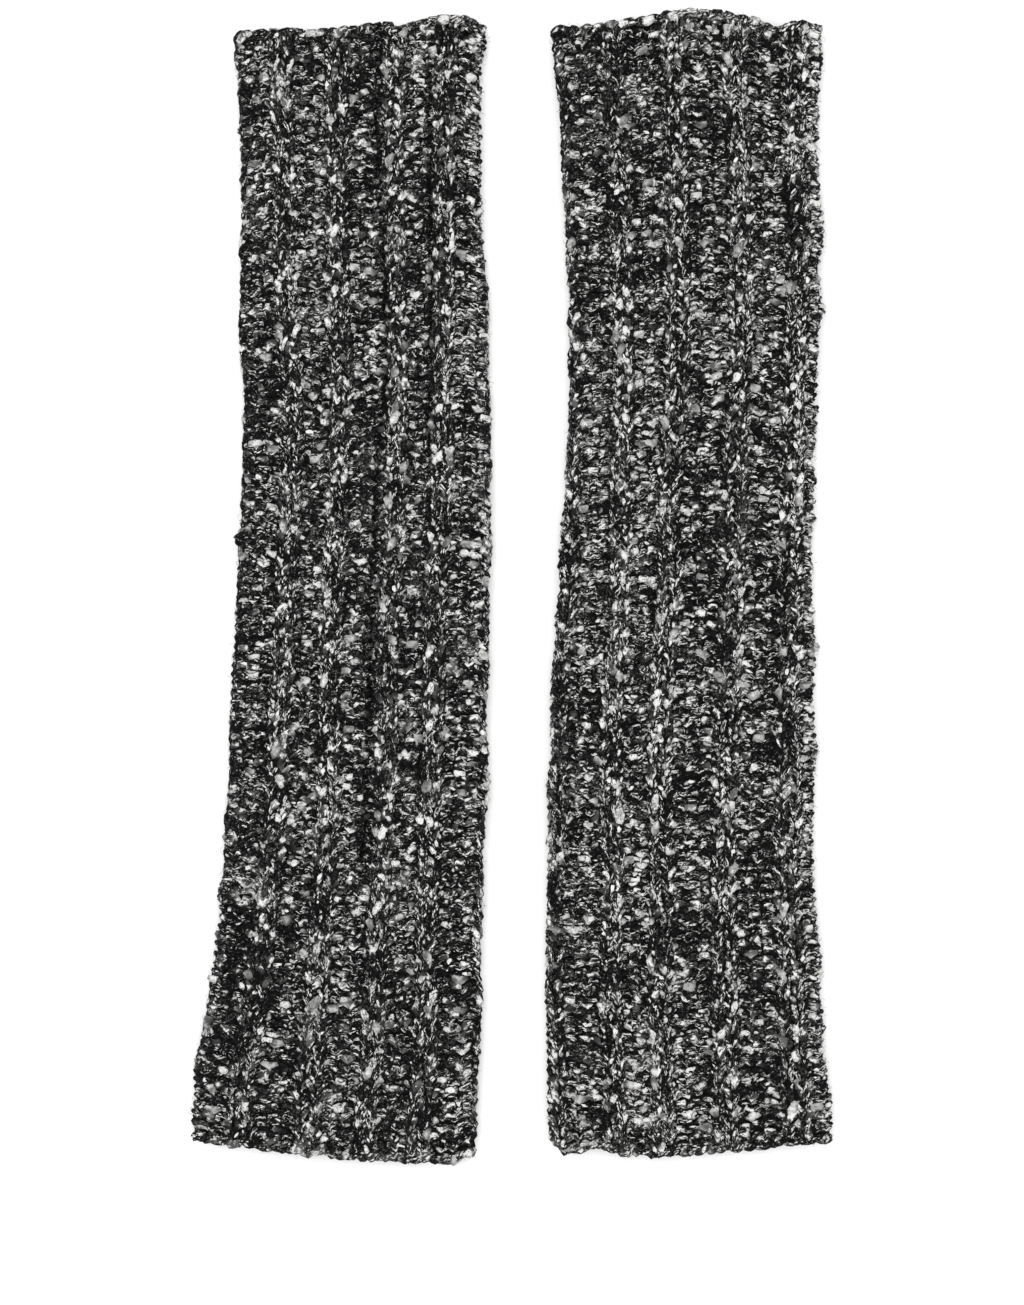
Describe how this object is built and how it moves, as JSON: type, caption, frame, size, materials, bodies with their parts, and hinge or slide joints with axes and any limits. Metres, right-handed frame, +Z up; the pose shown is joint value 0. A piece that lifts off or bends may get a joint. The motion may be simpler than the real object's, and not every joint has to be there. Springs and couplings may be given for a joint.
{
  "type": "pair of wrist warmers",
  "caption": "Pair of long fingerless ribbed knit tubes for wrists and forearms, open at both ends and wider at the elbow end, laid flat side by side.",
  "frame": {"origin": "middle of the pair's box, on the surface that it lies on", "axes": "+X from the left warmer to the right one, +Y towards the narrow upper ends, +Z up off the surface"},
  "size_m": [0.2368, 0.4258, 0.0118],
  "materials": {
    "left_yarn": "chunky slub yarn, black and ecru marl, matte with a soft wool halo",
    "right_yarn": "chunky slub yarn, black and ecru marl, matte with a soft wool halo"
  },
  "bodies": {
    "root": {"left_warmer": "left_yarn", "right_warmer": "right_yarn"}
  },
  "joints": []
}
